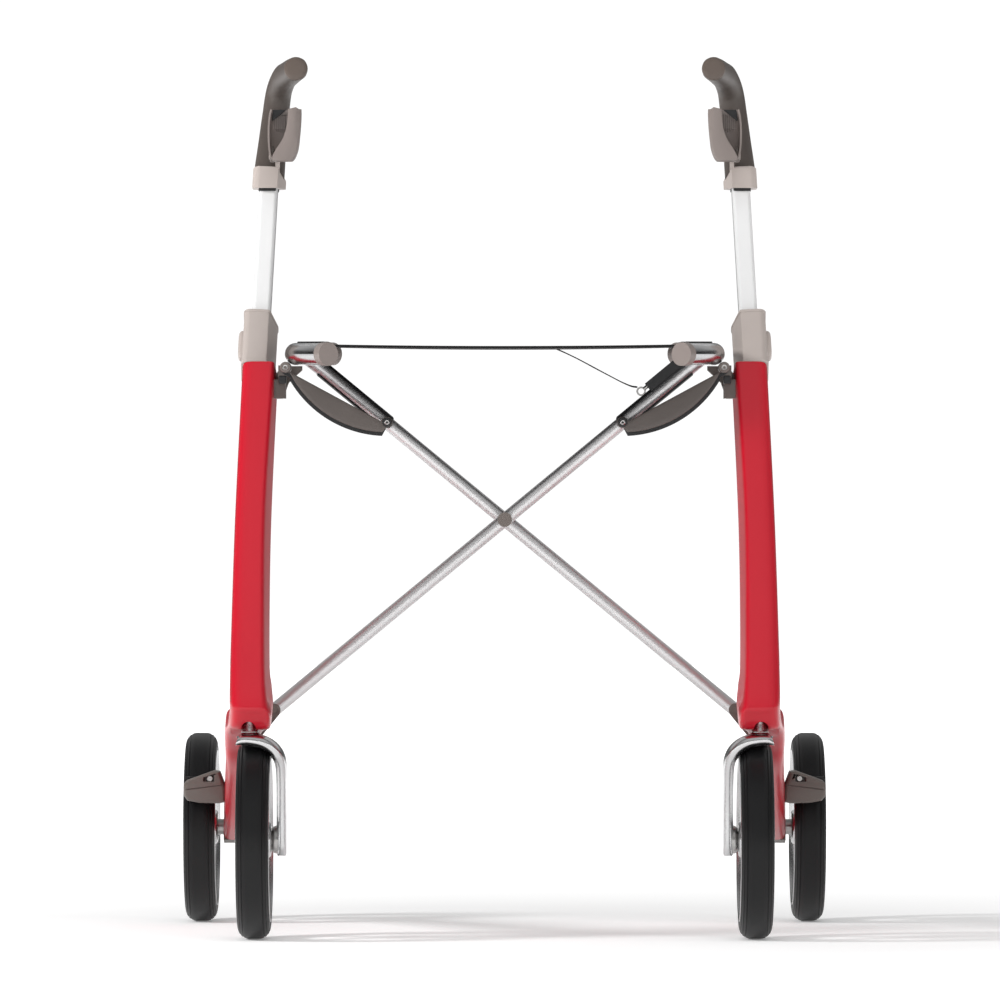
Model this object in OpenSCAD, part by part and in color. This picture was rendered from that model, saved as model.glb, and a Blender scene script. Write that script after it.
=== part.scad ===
// Rollator walker with two moulded side frames, a folding cross frame and a textile seat.
// Millimetres, Z up, front of the walker towards -Y, origin on the floor midway between the wheels.

/* [Wheels] */
// Outer radius of every wheel
wheel_r = 101.5; // [98:0.5:104]
// Width of a tyre
tyre_w = 33.6; // [30:0.2:36]
// Distance from the walker's middle to a front wheel's middle plane
front_x = 256.5; // [254:0.5:258]
// Distance from the walker's middle to a rear wheel's middle plane
rear_x = 327; // [326:0.5:330]
// Distance from the middle to each pair of axles
axle_y = 220; // [219:0.5:222]

/* [Side frame] */
// Backward lean of the columns in degrees
lean = 26; // [25.5:0.1:26.5]
// Inward lean of the handle posts in degrees
post_in = 2.4; // [2:0.1:2.8]
// Length of the clamp collar at the top of a column
collar_len = 63.6; // [60:0.2:66]
// Distance from the walker's middle to a caster's swivel axis
stem_x = 260; // [259:0.5:261]
// Height of the bottom edge of the steering heads
head_z = 214.5; // [214:0.5:216]

/* [Handles] */
// Width of the height-adjusting post
post_w = 19.2; // [18:0.1:20]
// Depth of the height-adjusting post
post_d = 30; // [28:0.5:31]
// Wall of the height-adjusting post
post_wall = 1.8; // [1.5:0.1:2.5]
// Distance along the post from the column's top to the grip's lower band
band_at = 209.5; // [206:0.5:212]

/* [Cross frame] */
// Diameter of the crossed bars
bar_d = 14; // [13:0.5:14]
// Height of the crossing
cross_z = 430; // [428:1:432]
// Distance from the walker's middle to a lower hinge
hinge_x = 239.4; // [239:0.2:240]
// Height of the lower hinges
hinge_z = 232.5; // [232:0.5:233]
// Distance from the walker's middle to an upper link pivot
link_x = 227.2; // [227:0.1:227.5]
// Height of the upper link pivots
link_z = 587.7; // [587.5:0.1:588]

/* [Seat] */
// Distance from the walker's middle to the middle of a seat rail
rail_x = 217; // [216.5:0.5:217.5]
// Height of the seat rails' centre line
rail_z = 602.3; // [602:0.1:602.6]
// Fore and aft place of the seat's middle
seat_y = -110; // [-112:1:-108]
// Diameter of the seat rails
rail_d = 23; // [22:0.5:23]
// Bend radius of the bowed seat rails
rail_r = 180; // [176:1:184]

/* [Hidden] */
$fn = 48;
// Fore and aft place of a caster's swivel axis
stem_y = -axle_y - 35;
// Fore and aft places of the two bars, which cross side by side
bar_a_y = seat_y - 8;
bar_b_y = seat_y + 8;
// Slope of a bar, its length up to the crossing, and its whole length
bar_angle = atan2(cross_z - hinge_z, hinge_x);
half_bar = norm([hinge_x, cross_z - hinge_z]);
bar_len = half_bar + norm([rail_x, rail_z - cross_z]) - 6;
// Distance between a folding link's two pivots, and its slope at rest
link_len = 119.6;
link_angle = 28.4;
// Place of the latch's ring along bar A from the crossing, and its height over the bar's centre line
latch_ring = 194;
latch_up = 12.8;
// Front face of the folding links
link_front = seat_y - 28;
// Upward slope of the seat towards the back
seat_tilt = 1.8;
// Point where the post's centre line leaves the column
post_foot = [256.9, -88, 582];
// Half angles of a seat rail's tube and of its capped length
rail_half = 34;
cap_half = 37;
// Running clearance on a radius
running = 0.05;
// Inboard face of the leg behind the hinge bracket
pad_x = 266;
// Y and Z of the brake lever's pin
lever_pivot = [-11, 814];

// Node that is built: one of the names above, or all of them

red = [0.76, 0.05, 0.11];
taupe = [0.48, 0.44, 0.42];
brown = [0.25, 0.21, 0.20];
silver = [0.80, 0.81, 0.82];

// ---------- shared shapes ----------

// Draws a right-hand part, or its mirror image on the left
module on_side(side) {
    if (side > 0) children();
    else mirror([1, 0, 0]) children();
}

// Local frame of the handle post: Z runs up the post, -Y faces the front, X faces outboard
module along_post() {
    translate(post_foot) rotate([0, -post_in, 0]) rotate([-lean, 0, 0]) children();
}

// Cylinder along X from x0 to x1
module rod_x(r, x0, x1, y, z) {
    translate([x0, y, z]) rotate([0, 90, 0]) cylinder(r = r, h = x1 - x0);
}

// Cylinder along Y from y0 to y1
module rod_y(r, y0, y1, x, z) {
    translate([x, y0, z]) rotate([-90, 0, 0]) cylinder(r = r, h = y1 - y0);
}

// Extrudes a side view drawn as (Y, Z) from x0 to x1
module side_view(x0, x1) {
    translate([x0, 0, 0]) rotate([90, 0, 90]) linear_extrude(x1 - x0) children();
}

// Extrudes a front view drawn as (X, Z) from y0 to y1
module front_view(y0, y1) {
    translate([0, y1, 0]) rotate([90, 0, 0]) linear_extrude(y1 - y0) children();
}

// Rounded rectangle made of true arcs
module round_rect(w, d, r) {
    square([w - 2 * r, d], center = true);
    square([w, d - 2 * r], center = true);
    for (sx = [-1, 1]) for (sy = [-1, 1]) translate([sx * (w / 2 - r), sy * (d / 2 - r)]) circle(r);
}

// Outline whose inboard front corner is cut back, as the mouldings on the columns have
module faceted_outline(w, d, r, facet) {
    difference() {
        round_rect(w, d, r);
        polygon([[-w, -d], [facet - w / 2, -d], [facet - w / 2, -d / 2 - 0.1], [-w / 2, d * 0.2],
            [-w, d * 0.2]]);
    }
}

// Point of a smooth curve through p1 and p2
function curve(p0, p1, p2, p3, t) =
    0.5 * (2 * p1 + (p2 - p0) * t + (2 * p0 - 5 * p1 + 4 * p2 - p3) * t * t
        + (3 * p1 - p0 - 3 * p2 + p3) * t * t * t);
function smooth(st, steps) = [
    for (i = [0 : len(st) - 2]) for (k = [0 : steps - 1])
        curve(st[max(i - 1, 0)], st[i], st[i + 1], st[min(i + 2, len(st) - 1)], k / steps),
    st[len(st) - 1]];
// Points of an arc from angle a0 to a1
function arc(x, y, r, a0, a1, steps = 10) =
    [for (k = [0 : steps]) let (a = a0 + (a1 - a0) * k / steps) [x + r * cos(a), y + r * sin(a)]];
function soft_power(v, e) = sign(v) * pow(abs(v), e);

// Closed skin over rings of points that all have the same count
module skin(rings) {
    n = len(rings[0]);
    last = len(rings) - 1;
    points = [for (ring = rings) each ring];
    walls = [for (i = [0 : last - 1]) for (k = [0 : n - 1])
        let (a = i * n + k, b = i * n + (k + 1) % n)
        each [[a, b, b + n], [a, b + n, a + n]]];
    start = [for (k = [1 : n - 2]) [0, k + 1, k]];
    finish = [for (k = [1 : n - 2]) [last * n, last * n + k, last * n + k + 1]];
    polyhedron(points = points, faces = concat(walls, start, finish));
}

// ---------- side frame ----------

// Stations from the column's top round the steering head to the rear end of the leg:
// outer edge Y and Z, inner edge Y and Z, middle X, width, share of the half width that the facet takes
frame_stations = [
    [-113, 594.5, -62.5, 569.7, 254.5, 37, 0.17],
    [-188, 443, -136, 417, 259, 38, 0.36],
    [-250, 314, -196, 286, 260, 40.5, 0.32],
    [-282, 248, -178, 262, 259.5, 43, 0.24],
    [-281, 229, -168, 252, 259.5, 43, 0.02],
    [-268, head_z + 1, -158, 245, 260.5, 44, 0],
    [-235, head_z, -146, 239, 263, 42, 0],
    [-195, 208, -132, 235, 269, 38, 0],
    [-160, 193, -112, 230, 272, 35, 0],
    [-122, 173, -82, 222, 274, 32, 0],
    [0, 139, 10, 194, 279, 30, 0],
    [120, 107, 128, 156, 285, 29, 0],
    [200, 88, 207, 130, 289, 28, 0]];
frame_points = 24;

function frame_ring(s) = [for (k = [0 : frame_points - 1])
    let (a = 360 * k / frame_points,
        power = cos(a) > 0 && sin(a) > 0 ? 0.35 : 0.55,
        u = soft_power(cos(a), power),
        v = soft_power(sin(a), power),
        cut = v > 0 ? 1 - s[6] * (u + 1) / 2 : 1)
    [s[4] - v * cut * s[5] / 2, (s[0] + s[2]) / 2 + u * (s[0] - s[2]) / 2,
        (s[1] + s[3]) / 2 + u * (s[1] - s[3]) / 2]];

// One-piece carbon moulding with a channel for the post and a blind bore for the caster bearings
module side_frame(side) color(red) on_side(side) difference() {
    skin([for (s = smooth(frame_stations, 3)) frame_ring(s)]);
    along_post() translate([0, 0, -236]) linear_extrude(260) round_rect(post_w + 3, post_d + 3, 5);
    translate([stem_x, stem_y, head_z - 20]) cylinder(r = 13, h = 30.5);
    translate([stem_x, stem_y, head_z]) cylinder(r = 11, h = 48);
    along_post() translate([-60, -60, 0]) cube(120);
    bracket_pads(side);
    brake_pad();
}

// Places where the brackets and the brake housing are let into the moulding
module bracket_pads(side) {
    translate([230, -113, 556.2]) cube([13, 32.8, 19.6]);
    translate([230, -93.8, 575]) cube([13, 13.6, 16]);
    translate([240, low_y(side) - 12.3, 206]) cube([pad_x - 240, 24.6, 33]);
}
module brake_pad() {
    translate([296, 84, 130]) cube([12, 28, 37]);
}

// The two bars cross side by side, so each hinge has its own fore and aft place
function low_y(side) = side < 0 ? bar_a_y : bar_b_y;
function high_y(side) = side < 0 ? bar_b_y : bar_a_y;

// Clamp sleeve that the post slides in
module collar(side) color(taupe) on_side(side) along_post() difference() {
    translate([0, 0, 0.3]) linear_extrude(collar_len - 0.3) faceted_outline(36, 52, 7, 8.5);
    translate([0, 0, -1]) linear_extrude(collar_len + 2)
        round_rect(post_w + 2 * running, post_d + 2 * running, 4);
    translate([11, -10.3, 15.7]) cube([10, 20.6, 32.6]);
}

// Push button that frees the post
module height_button(side) color(taupe) on_side(side) along_post() {
    translate([14.5, 0, 32]) rotate([0, 90, 0]) linear_extrude(7.7) round_rect(32, 20, 5);
}

// Bracket at the column's top: pivot for the folding link and rest for the seat rail
module seat_bracket(side) color(silver) on_side(side) {
    side_view(227.5, 235) polygon([[-113, 556.2], [-92, 556.2], [-92, 575.8], [-112, 590], [-126, 590],
        [-126, 578], [-113, 570]]);
    translate([235, -113, 556.2]) cube([8, 21, 19.6]);
    front_view(-93.8, -80.2) polygon([[243, 556.2], [243, 575.8], [232, 590.2], [211, 590.2], [211, 586],
        [225, 573], [231, 556.2]]);
    rod_y(6, -126.4, -112, link_x, link_z);
    rod_y(3, link_front - 1.5, -126.4, link_x, link_z);
    rod_y(5, link_front - 4, link_front - 1.5, link_x, link_z);
}

// Clevis and pin for the foot of a cross bar
module hinge_bracket(side) color(brown) on_side(side) {
    y = low_y(side);
    for (ear = [y - 12.3, y + 7.3]) front_view(ear, ear + 5)
        polygon(concat(arc(hinge_x, hinge_z, 7, 50, 220, 12), [[252, 206], [pad_x, 206], [pad_x, 225.8]]));
    translate([252, y - 12.3, 206]) cube([pad_x - 252, 24.6, 16]);
    rod_y(3, y - 14.5, y + 14.5, hinge_x, hinge_z);
}

// Rear axle bolt and the two caster bearings
module frame_hardware(side) color(silver) on_side(side) {
    rod_x(5, 276.5, 341, axle_y, wheel_r);
    rod_x(8.5, 272.5, 276.5, axle_y, wheel_r);
    rod_x(8, 340.3, 343.4, axle_y, wheel_r);
    rod_x(8.5, 303.2, 309.8, axle_y, wheel_r);
    for (z = [head_z + 11, head_z + 34]) translate([stem_x, stem_y, z]) difference() {
        cylinder(r = 11, h = 7);
        translate([0, 0, -1]) cylinder(r = 6 + running, h = 9);
    }
}

// Brake housing on the outboard side of the leg, ahead of the rear wheel
module brake_housing(side) color(taupe) on_side(side) difference() {
    front_view(84, 112) {
        polygon([[296, 131], [296, 147], [303, 165], [309, 165.5], [338, 155], [341.5, 151], [342, 139],
            [337, 132.5], [325, 130.5], [304, 130]]);
    }
    rod_y(4 + running, 90, 120, 327, 144);
}

// Brake block that the lever pushes against the rear tyre
module brake_shoe(side) color(brown) on_side(side) difference() {
    union() {
        translate([313, 112.4, 134]) cube([28, 20, 24]);
        rod_y(4, 94, 113, 327, 144);
    }
    rod_x(104.2, 300, 350, axle_y, wheel_r);
}

// Dropout that closes the leg and holds the rear axle
module leg_end(side) color(taupe) on_side(side) difference() {
    side_view(276.5, 303) polygon(concat([[200.6, 88], [207.6, 130], [214, 128.5]],
        arc(axle_y, wheel_r, 17.5, 60, -100, 16)));
    rod_x(5.01, 270, 310, axle_y, wheel_r);
}

// ---------- handle ----------

module handle_post(side) color("white") on_side(side) along_post() difference() {
    translate([0, 0, -90]) linear_extrude(90 + band_at + 34) round_rect(post_w, post_d, 4);
    translate([0, 0, -91]) linear_extrude(92 + band_at + 34)
        round_rect(post_w - 2 * post_wall, post_d - 2 * post_wall, 2.2);
}

// Inboard face of the ear that carries the lever, and its thickness
ear_x = 236.8;
ear_w = 4.6;

// Sleeve under the grip, with an ear and a headed pin for the brake lever
module grip_band(side) color(taupe) on_side(side) {
    difference() {
        along_post() difference() {
            translate([0, 0, band_at]) linear_extrude(26) faceted_outline(34.5, 44, 8, 8);
            translate([0, 0, band_at - 1]) linear_extrude(28) round_rect(post_w, post_d, 4);
        }
        translate([200, -60, 700]) cube([100, 120, 80]);
    }
    side_view(ear_x, ear_x + ear_w) lever_ear();
    rod_x(3, ear_x + 1, 248, lever_pivot[0], lever_pivot[1]);
    rod_x(4.2, 246.6, 248, lever_pivot[0], lever_pivot[1]);
}
// Side view of the ear that holds the lever's pin
module lever_ear() {
    polygon([[-5.6, 801.5], [-9, 806.5], [-19, 809], [-20.5, 815], [-17, 820], [-12, 822], [-5, 820], [-3.5, 806],
        [-1.5, 799]]);
}
// Path of the grip: X, Y, Z, half width, half height
grip_stations = [
    [249.3, 8.5, 783, 16.5, 19],
    [247.8, 18, 803, 16, 18],
    [245.6, 32, 830, 14.8, 16],
    [242.5, 42, 860, 14.2, 15],
    [239, 38, 884, 13.8, 15],
    [233, 16, 897, 13, 14],
    [227, -14, 900, 12.5, 13],
    [221.5, -50, 901, 12.2, 12.5],
    [218, -76, 901, 12, 12],
    [217.4, -80, 901, 9, 9]];
// Ring of a tube whose sections stand square to its path, with one axis kept level
function level_ring(rings, i, count) =
    let (here = rings[i],
        a = rings[max(i - 1, 0)],
        b = rings[min(i + 1, len(rings) - 1)],
        t = [b[0] - a[0], b[1] - a[1], b[2] - a[2]] / norm([b[0] - a[0], b[1] - a[1], b[2] - a[2]]),
        side = cross([0, t[1], t[2]], [1, 0, 0]) / norm(cross([0, t[1], t[2]], [1, 0, 0])))
    [for (k = [0 : count - 1]) let (q = 360 * k / count)
        [here[0], here[1], here[2]] + [1, 0, 0] * here[3] * soft_power(cos(q), 0.8)
            + side * here[4] * soft_power(sin(q), 0.8)];
module path_solid(stations, steps, count) {
    rings = smooth(stations, steps);
    skin([for (i = [0 : len(rings) - 1]) level_ring(rings, i, count)]);
}

module grip(side) color(brown) on_side(side) difference() {
    path_solid(grip_stations, 3, 16);
    along_post() translate([0, 0, band_at - 20]) linear_extrude(46.2) square(80, center = true);
    along_post() translate([0, 0, band_at]) linear_extrude(34.3) round_rect(post_w, post_d, 4);
    side_view(ear_x - 0.2, ear_x + ear_w + 0.2) offset(0.3) lever_ear();
}

// Finger lever below the grip: a narrow arm and a wide curved paddle
module brake_lever(side) color(taupe) on_side(side) difference() {
    union() {
        side_view(241.6, 246.4) polygon(concat(arc(lever_pivot[0], lever_pivot[1], 6.5, -70, 80),
            [[-30, 817], [-30, 806]]));
        intersection() {
            side_view(210, 250) polygon(concat([[-22, 806]], arc(-40, 826, 20, -90, -170),
                [[-61, 862], [-59, 866], [-55, 866], [-53, 862]], arc(-40, 829, 12, 180, 270), [[-22, 817]]));
            front_view(-70, -10) polygon([[227, 800], [245, 804], [246.5, 814], [246.5, 862], [243, 867],
                [219, 867], [215.5, 862], [215.5, 832], [218.5, 818], [224, 806]]);
        }
    }
    rod_x(3 + running, 220, 250, lever_pivot[0], lever_pivot[1]);
}

// ---------- casters and wheels ----------

// Single arm that arches over the tyre, seen from the front and from the side
module fork_front() {
    polygon(concat([[223.2, 80]], arc(243.2, 189.5, 20, 180, 90),
        [[266, 209.5], [273.2, 206.5], [274.2, 202], [271.5, 196.5]],
        arc(262, 168.5, 28, 90, 180), [[234, 80]]));
}
module fork_side() {
    polygon(concat([[-277, 215], [-237, 215], [-231, 185]], arc(-axle_y, wheel_r, 17, 10, -165, 16),
        [[-270, 180], [-277, 192]]));
}
module caster_fork(side) color(silver) on_side(side) difference() {
    intersection() {
        front_view(-290, -190) fork_front();
        side_view(200, 290) fork_side();
    }
    rod_x(104.3, 238.4, 290, -axle_y, wheel_r);
    rod_x(5, 200, 290, -axle_y, wheel_r);
    translate([stem_x, stem_y, 190]) cylinder(r = 6, h = 30);
}

// Swivel stem with its shoulder and retaining nut
module caster_stem(side) color(silver) on_side(side) translate([stem_x, stem_y, 0]) {
    translate([0, 0, 205.5]) cylinder(r = 6, h = 55.5);
    translate([0, 0, 209.6]) cylinder(r = 9, h = 3);
    translate([0, 0, head_z + 41.5]) cylinder(r = 9, h = 4.5, $fn = 6);
}

module front_axle(side) color(silver) on_side(side) {
    rod_x(5, 223.6, 270, -axle_y, wheel_r);
    rod_x(8, 269.8, 272.8, -axle_y, wheel_r);
    difference() {
        rod_x(9, 234.2, 239.3, -axle_y, wheel_r);
        rod_x(5, 230, 245, -axle_y, wheel_r);
    }
}

// Turns a wheel profile drawn as (radius, X) about an axle
module wheel_at(x, y) {
    translate([x, y, wheel_r]) rotate([0, 90, 0]) children();
}
// Radius of the tyre's seat on the rim, and of the tyre's rounded shoulders
rim_r = 80;
shoulder = 12;
module tyre() {
    crown = tyre_w / 2 - shoulder;
    rotate_extrude($fn = 96) {
        translate([rim_r, -tyre_w / 2]) square([wheel_r - shoulder - rim_r, tyre_w]);
        translate([wheel_r - shoulder - 0.5, -crown]) square([shoulder + 0.5, 2 * crown]);
        intersection() {
            for (s = [-1, 1]) translate([wheel_r - shoulder, s * crown]) circle(shoulder);
            translate([rim_r, -tyre_w / 2]) square([wheel_r - rim_r, tyre_w]);
        }
    }
}
// Radius of a hub, and the number of its spokes
hub_r = 18;
spokes = 5;
module rim() {
    difference() {
        union() {
            rotate_extrude($fn = 96) {
                translate([71, -12]) square([rim_r - 71, 24]);
                translate([66, -7]) square([6, 14]);
            }
            translate([0, 0, -17]) cylinder(r = hub_r, h = 34);
            translate([0, 0, -6]) linear_extrude(12) for (k = [0 : spokes - 1]) rotate(360 * k / spokes)
                polygon([[12, -11], [68, -7], [68, 7], [12, 11]]);
        }
        translate([0, 0, -20]) cylinder(r = 7.5, h = 40);
        translate([0, 0, -17.1]) cylinder(r = 11, h = 7.1);
        translate([0, 0, 6]) cylinder(r = 11, h = 11.1);
    }
}
module bearings() {
    for (z = [-17, 6]) translate([0, 0, z]) difference() {
        cylinder(r = 11, h = 7);
        translate([0, 0, -1]) cylinder(r = 5 + running, h = 9);
    }
}
module front_tyre(side) color("black") on_side(side) wheel_at(front_x, -axle_y) tyre();
module front_rim(side) color(silver) on_side(side) wheel_at(front_x, -axle_y) rim();
module front_bearings(side) color("gray") on_side(side) wheel_at(front_x, -axle_y) bearings();
module rear_tyre(side) color("black") on_side(side) wheel_at(rear_x, axle_y) tyre();
module rear_rim(side) color(silver) on_side(side) wheel_at(rear_x, axle_y) rim();
module rear_bearings(side) color("gray") on_side(side) wheel_at(rear_x, axle_y) bearings();

// ---------- cross frame ----------

// Frame of a folding link: X runs from the upper pivot to the bar, Y points up and inboard
module at_link() {
    translate([link_x, 0, link_z]) mirror([1, 0, 0]) rotate([0, link_angle, 0]) children();
}
// Sickle outline: straight above, bowed below, with a blunt end past the lower pivot
bow_r = 112.2;
bow_at = [70.7, 89.3];
module sickle(grow) {
    intersection() {
        translate(bow_at) circle(bow_r + grow, $fn = 96);
        translate([grow > 0 ? 10 : -20, -60]) square([link_len + 2 - (grow > 0 ? 10 : -20), 58]);
    }
    for (x = grow > 0 ? [link_len] : [0, link_len]) translate([x, 0]) circle(5.8);
}
module link_plate(y0, y1, grow) {
    at_link() translate([0, y1, 0]) rotate([90, 0, 0]) linear_extrude(y1 - y0) sickle(grow);
}
module link_core(side) color([0.05, 0.05, 0.06]) on_side(side) difference() {
    union() {
        link_plate(link_front + 5.2, link_front + 10, 3.8);
        at_link() rod_y(5.8, link_front + 5.2, link_front + 10, 0, 0);
        at_link() rod_y(5.8, link_front + 9, high_y(side) - 7.4, link_len, 0);
        at_link() rod_y(4.2, link_front - 3, link_front + 6, link_len, 0);
        at_link() translate([0, link_front + 5.2, -7]) cube([14, 4.8, 5]);
    }
    rod_y(3 + running, -160, -90, link_x, link_z);
}
module link_cover(side) color(taupe) on_side(side) difference() {
    link_plate(link_front, link_front + 5, 0);
    rod_y(3 + running, -160, -90, link_x, link_z);
    at_link() rod_y(4.25, -160, -90, link_len, 0);
}

// Frame of the seat, which rises a little towards the back: origin at the middle of the rails
module at_seat() {
    translate([0, seat_y, rail_z]) rotate([seat_tilt, 0, 0]) children();
}
// Seat rail: a bowed tube with its ends turned inboard
module rail_arc(half, r) {
    at_seat() translate([rail_x - rail_r, 0, 0]) rotate([0, 0, -half])
        rotate_extrude(angle = 2 * half, $fn = 96) translate([rail_r, 0]) circle(r);
}
module seat_rail(side) color(silver) on_side(side) difference() {
    rail_arc(rail_half, rail_d / 2);
    rail_arc(rail_half + 2, rail_d / 2 - 2);
}
module rail_caps(side) color(taupe) on_side(side) for (s = [-1, 1]) {
    at_seat() translate([rail_x - rail_r, 0, 0]) {
        rotate([0, 0, s > 0 ? rail_half : -cap_half]) rotate_extrude(angle = cap_half - rail_half, $fn = 96)
            translate([rail_r, 0]) circle(rail_d / 2 + 0.6);
        rotate([0, 0, s > 0 ? rail_half - 5 : -rail_half - 0.5]) rotate_extrude(angle = 5.5, $fn = 96)
            translate([rail_r, 0]) circle(rail_d / 2 - 2.02);
    }
}

// Cross bar in the right-hand sense: from the left hinge up to the right rail
module cross_bar(y) {
    difference() {
        union() {
            translate([-hinge_x, y, hinge_z]) rotate([0, 90 - bar_angle, 0]) {
                cylinder(r = bar_d / 2, h = bar_len);
                translate([0, 0, bar_len - 24]) cylinder(r = bar_d / 2 + 1, h = 24);
            }
            rod_y(bar_d / 2, y - 7, y + 7, -hinge_x, hinge_z);
        }
        rail_arc(rail_half + 4, rail_d / 2);
        translate([rail_x - 4, y - 20, rail_z - 4]) cube(40);
        rod_y(3 + running, y - 10, y + 10, -hinge_x, hinge_z);
        rod_y(4 + running, y - 10, y + 10, 0, cross_z);
    }
}
module cross_bar_a() color(silver) cross_bar(bar_a_y);
module cross_bar_b() color(silver) mirror([1, 0, 0]) cross_bar(bar_b_y);

// Pin through both bars, a washer between them and a cap on the front
module centre_pivot() color(taupe) {
    rod_y(4, bar_a_y - 7.3, bar_b_y + 9, 0, cross_z);
    rod_y(7.5, bar_a_y - 12, bar_a_y - 7.2, 0, cross_z);
    difference() {
        rod_y(7, bar_a_y + 7.05, bar_b_y - 7.05, 0, cross_z);
        rod_y(4, bar_a_y, bar_b_y, 0, cross_z);
    }
    rod_y(6.5, bar_b_y + 7.3, bar_b_y + 10, 0, cross_z);
}

// ---------- seat ----------

// Textile seat, a thin sheet held between the bowed rails
module seat_fabric() color([0.06, 0.06, 0.07]) at_seat() translate([0, 0, 7]) linear_extrude(2.6) intersection() {
    union() {
        for (s = [-1, 1]) translate([s * (rail_x - rail_r), 0]) circle(rail_r - 10.3, $fn = 96);
    }
    square([420, 194], center = true);
}

// Frame of the latch: X runs up cross bar A from the crossing, Z stands off its upper side
module at_bar_a() {
    translate([0, bar_a_y, cross_z]) rotate([0, -bar_angle, 0]) children();
}
module latch_housing() color([0.05, 0.05, 0.06]) at_bar_a() difference() {
    translate([202, -6, 4]) cube([44.9, 12, 12.5]);
    rotate([0, 90, 0]) cylinder(r = bar_d / 2, h = 400);
    translate([200, 0, latch_up]) rotate([0, 90, 0]) cylinder(r = 2 + running, h = 60);
}
module latch_plunger() color(silver) at_bar_a() translate([latch_ring, 0, latch_up]) {
    translate([3.6, 0, 0]) rotate([0, 90, 0]) cylinder(r = 2, h = 59.4);
    rotate([90, 0, 0]) translate([0, 0, -1.2]) difference() {
        cylinder(r = 5, h = 2.4);
        translate([0, 0, -1]) cylinder(r = 3, h = 5);
    }
}

// Route of the release cord from under the seat to the ring of the latch
cord_route = [[52, -150, 606.9], [62, -146, 602.6], [74, -142, 597], [86, -138, 590.8], [98, -133, 584.5],
    [110, -129, 578.3], [120, -126, 573.2], [127.5, -123.2, 569.9], [132.2, -121, 568.3],
    [136.8, -119, 567.7]];
// Diameter of the release cord
cord_d = 2;
function cord_ring(route, i) =
    let (a = route[max(i - 1, 0)],
        b = route[min(i + 1, len(route) - 1)],
        t = (b - a) / norm(b - a),
        u = cross(t, [0, 1, 0]) / norm(cross(t, [0, 1, 0])),
        v = cross(t, u))
    [for (k = [0 : 7]) route[i] + (u * cos(45 * k) + v * sin(45 * k)) * cord_d / 2];
module release_cord() color([0.06, 0.06, 0.07]) {
    route = smooth(cord_route, 2);
    skin([for (i = [0 : len(route) - 1]) cord_ring(route, i)]);
}

// ---------- assembly ----------

side_frame(-1);  // side_frame_left
side_frame(1);  // side_frame_right
collar(-1);  // collar_left
collar(1);  // collar_right
height_button(-1);  // height_button_left
height_button(1);  // height_button_right
seat_bracket(-1);  // seat_bracket_left
seat_bracket(1);  // seat_bracket_right
hinge_bracket(-1);  // hinge_bracket_left
hinge_bracket(1);  // hinge_bracket_right
frame_hardware(-1);  // frame_hardware_left
frame_hardware(1);  // frame_hardware_right
brake_housing(-1);  // brake_housing_left
brake_housing(1);  // brake_housing_right
brake_shoe(-1);  // brake_shoe_left
brake_shoe(1);  // brake_shoe_right
leg_end(-1);  // leg_end_left
leg_end(1);  // leg_end_right
handle_post(-1);  // handle_post_left
handle_post(1);  // handle_post_right
grip_band(-1);  // grip_band_left
grip_band(1);  // grip_band_right
grip(-1);  // grip_left
grip(1);  // grip_right
brake_lever(-1);  // brake_lever_left
brake_lever(1);  // brake_lever_right
caster_fork(-1);  // caster_fork_left
caster_fork(1);  // caster_fork_right
caster_stem(-1);  // caster_stem_left
caster_stem(1);  // caster_stem_right
front_axle(-1);  // front_axle_left
front_axle(1);  // front_axle_right
front_tyre(-1);  // front_tyre_left
front_tyre(1);  // front_tyre_right
front_rim(-1);  // front_rim_left
front_rim(1);  // front_rim_right
front_bearings(-1);  // front_bearings_left
front_bearings(1);  // front_bearings_right
rear_tyre(-1);  // rear_tyre_left
rear_tyre(1);  // rear_tyre_right
rear_rim(-1);  // rear_rim_left
rear_rim(1);  // rear_rim_right
rear_bearings(-1);  // rear_bearings_left
rear_bearings(1);  // rear_bearings_right
link_core(-1);  // link_core_left
link_core(1);  // link_core_right
link_cover(-1);  // link_cover_left
link_cover(1);  // link_cover_right
seat_rail(-1);  // seat_rail_left
seat_rail(1);  // seat_rail_right
rail_caps(-1);  // rail_caps_left
rail_caps(1);  // rail_caps_right
cross_bar_a();
cross_bar_b();
centre_pivot();
seat_fabric();
latch_housing();
latch_plunger();
release_cord();
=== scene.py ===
import math

import bpy
import bmesh
from mathutils import Matrix, Vector


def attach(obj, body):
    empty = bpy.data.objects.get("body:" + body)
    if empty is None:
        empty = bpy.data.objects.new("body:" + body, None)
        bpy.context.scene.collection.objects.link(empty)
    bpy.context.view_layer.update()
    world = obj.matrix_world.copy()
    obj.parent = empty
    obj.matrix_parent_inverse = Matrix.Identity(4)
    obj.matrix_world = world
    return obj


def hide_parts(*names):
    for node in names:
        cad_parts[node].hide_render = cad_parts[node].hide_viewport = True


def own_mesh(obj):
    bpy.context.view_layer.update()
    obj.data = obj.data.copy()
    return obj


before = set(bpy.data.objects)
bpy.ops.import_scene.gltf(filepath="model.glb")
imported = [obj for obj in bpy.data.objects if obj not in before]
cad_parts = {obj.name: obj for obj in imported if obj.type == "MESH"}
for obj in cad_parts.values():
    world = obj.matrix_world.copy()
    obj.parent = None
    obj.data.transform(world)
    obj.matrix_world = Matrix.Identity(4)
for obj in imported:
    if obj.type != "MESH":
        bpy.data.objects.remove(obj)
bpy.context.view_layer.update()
MM = 0.001
SIDES = {"left": -1, "right": 1}

# ---------- camera ----------

CAMERA_AT = (-0.005, -8.22, 0.354)
SENSOR_MM = 36.0
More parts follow.
